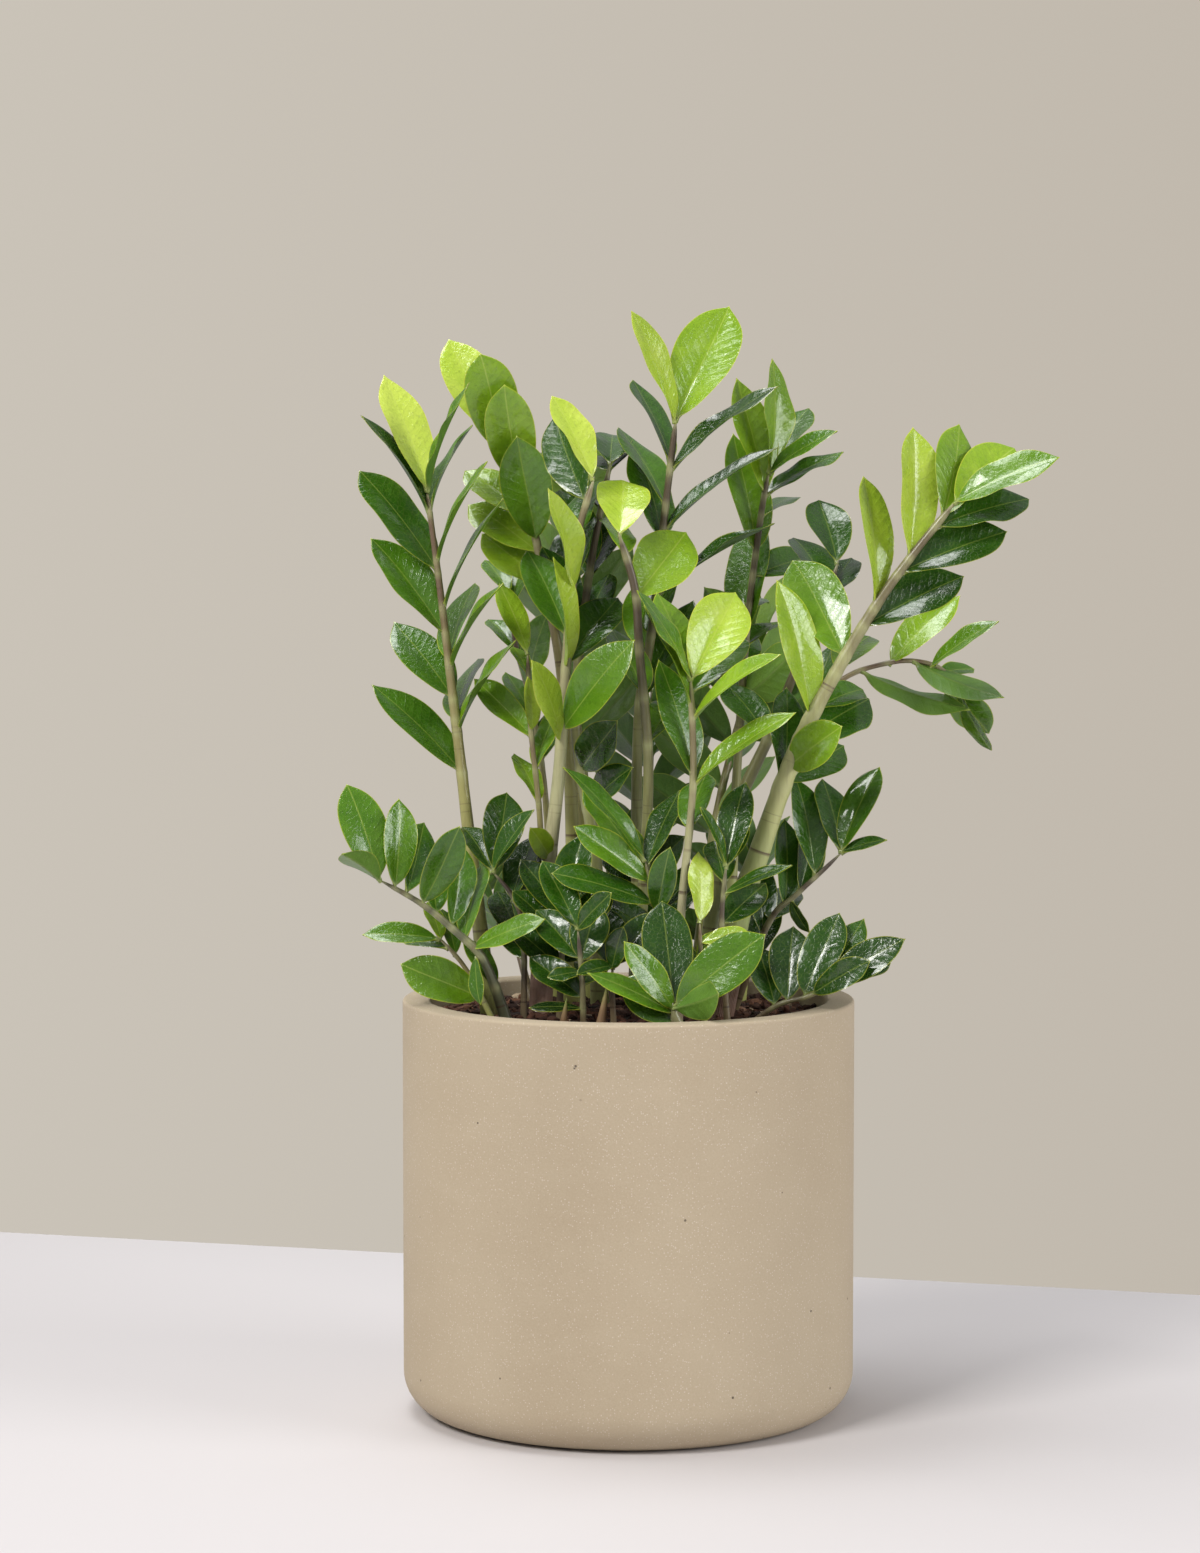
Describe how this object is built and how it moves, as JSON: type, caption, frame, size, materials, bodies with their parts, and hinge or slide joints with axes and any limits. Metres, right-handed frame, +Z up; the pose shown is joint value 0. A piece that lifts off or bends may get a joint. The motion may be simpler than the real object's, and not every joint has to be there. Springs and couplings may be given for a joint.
{
  "type": "potted zz plant",
  "caption": "ZZ plant with glossy pinnate fronds of several ages growing in a round, straight-sided planter of pale cast stone",
  "frame": {"origin": "the centre of the flat face that the planter stands on", "axes": "+Z up, -Y toward the plant's front as pictured, +X to the right as seen from the front; the planter's axis of revolution is the Z axis"},
  "size_m": [0.4724, 0.3525, 0.7468],
  "materials": {
    "cast_stone": "matte",
    "bark_and_coir": "matte",
    "leaf_dark": "gloss",
    "leaf_mid": "gloss",
    "leaf_new": "gloss",
    "dry_sheath": "matte",
    "shoot_skin": "matte"
  },
  "bodies": {
    "root": {"pot": "cast_stone", "potting_mix": "bark_and_coir", "sheath_right_thick": "dry_sheath", "sheath_centre_left": "dry_sheath", "sheath_right_inner": "dry_sheath", "new_shoot_front": "shoot_skin", "new_shoot_left": "shoot_skin", "new_shoot_back": "shoot_skin", "frond_front_centre": "leaf_new", "frond_rim_front": "leaf_mid", "frond_spoon": "leaf_new", "frond_right_thick": "leaf_new", "frond_top_centre": "leaf_new", "frond_left_tall": "leaf_mid", "frond_centre_left": "leaf_new", "frond_low_left": "leaf_mid", "frond_low_centre": "leaf_mid", "frond_low_right": "leaf_dark", "frond_rim_right": "leaf_dark", "frond_back_right": "leaf_mid", "frond_back_left_fan": "leaf_new", "frond_low_left_inner": "leaf_dark", "frond_low_left_thin": "leaf_mid", "frond_low_bright": "leaf_new", "frond_mid_right": "leaf_dark", "frond_low_middle": "leaf_dark", "frond_low_dark": "leaf_dark", "frond_low_inner": "leaf_dark", "frond_right_inner": "leaf_dark", "frond_right_arching": "leaf_new", "frond_centre_dark": "leaf_dark", "frond_left_thin": "leaf_new", "frond_back_left_small": "leaf_mid", "frond_back_tall": "leaf_mid", "frond_back_middle": "leaf_dark", "frond_back_outer": "leaf_mid", "frond_low_back": "leaf_dark", "frond_back_low_left": "leaf_dark", "frond_back_low_right": "leaf_dark"}
  },
  "joints": []
}
